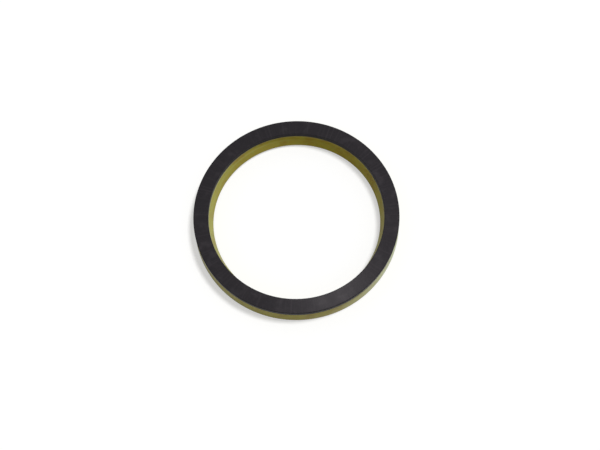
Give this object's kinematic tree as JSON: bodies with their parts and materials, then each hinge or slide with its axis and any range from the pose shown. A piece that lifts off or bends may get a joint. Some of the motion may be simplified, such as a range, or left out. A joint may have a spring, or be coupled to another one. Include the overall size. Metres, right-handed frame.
{
  "type": "u cup seal with back-up ring",
  "caption": "Round U-cup rod seal in soft polyurethane: two flared lips with a groove between them, and a hard flat back-up ring on the heel.",
  "frame": {"origin": "on the seal's axis, in the plane of the two lip tips", "axes": "+Z along the seal's axis, from the lips towards the heel and the back-up ring"},
  "size_m": [0.1062, 0.1062, 0.0115],
  "materials": {
    "polyurethane": "smooth olive-yellow elastomer with a soft sheen",
    "ring_plastic": "matte charcoal black, fine grain"
  },
  "bodies": {
    "root": {"u_cup_body": "polyurethane", "backup_ring": "ring_plastic"}
  },
  "joints": []
}
